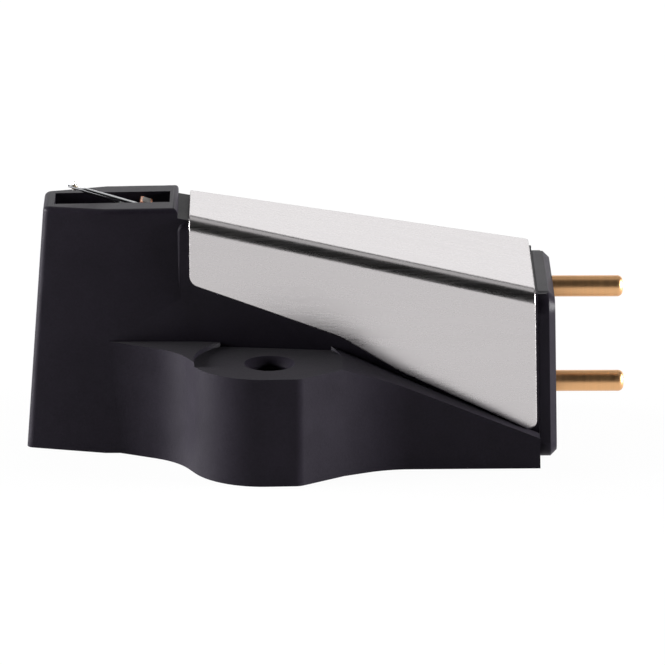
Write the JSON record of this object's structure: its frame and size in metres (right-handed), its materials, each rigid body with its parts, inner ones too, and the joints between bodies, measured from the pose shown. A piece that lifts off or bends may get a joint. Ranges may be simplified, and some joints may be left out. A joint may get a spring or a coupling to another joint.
{
  "type": "turntable stylus cartridge",
  "caption": "Phono cartridge with a tall tapering nose, winged mounting ears, a folded metal cover, a slim cantilever with a pointed stylus and two terminal pins at the rear.",
  "frame": {"origin": "midway between the two mounting holes, in the flat mounting face", "axes": "+Z from the mounting face to the stylus side, -X to the stylus end, +X to the terminal pins, Y across the ears"},
  "size_m": [0.0339, 0.0188, 0.0153],
  "materials": {
    "moulding": "fine satin texture, moulded black",
    "cover_metal": "finely brushed, clear anodised",
    "plate_plastic": "smooth satin black",
    "pin_gold": "gold flashed, drawn",
    "yoke_iron": "ground soft iron, thinly plated",
    "magnet_plating": "plated, tumbled",
    "sleeve_brass": "drawn",
    "wire_steel": "drawn",
    "screw_steel": "blackened",
    "damper_rubber": "soft, dull",
    "former_plastic": "natural, translucent",
    "coil_copper": "fine enamelled copper, wound",
    "arm_aluminium": "drawn tube",
    "shank_titanium": "ground",
    "diamond": "polished",
    "lead_white": "thin sleeve",
    "lead_red": "thin sleeve"
  },
  "bodies": {
    "root": {"body_shell": "moulding", "cover": "cover_metal", "rear_plate": "plate_plastic", "terminal_pin_upper": "pin_gold", "terminal_pin_lower": "pin_gold", "front_yoke": "yoke_iron", "magnet": "magnet_plating", "rear_yoke": "yoke_iron", "rear_pole": "yoke_iron", "tie_wire_sleeve": "sleeve_brass", "tie_wire": "wire_steel", "set_screw": "screw_steel", "signal_lead": "lead_white", "return_lead": "lead_red"},
    "suspension": {"damper_ring": "damper_rubber"},
    "stylus_arm": {"coil_former": "former_plastic", "coil": "coil_copper", "cantilever": "arm_aluminium", "stylus_shank": "shank_titanium", "stylus_tip": "diamond"}
  },
  "joints": [
    {"name": "cantilever_lift", "type": "hinge", "parent": "root", "child": "suspension", "pos_m": [-0.0067, 0, 0.01336], "axis": [0, 1, 0], "range_deg": [-5, 2], "stiffness_Nm_per_rad": 0.0015},
    {"name": "cantilever_sway", "type": "hinge", "parent": "suspension", "child": "stylus_arm", "pos_m": [-0.0067, 0, 0.01336], "axis": [0.299, 0, 0.9542], "range_deg": [-3, 3], "stiffness_Nm_per_rad": 0.0015}
  ]
}
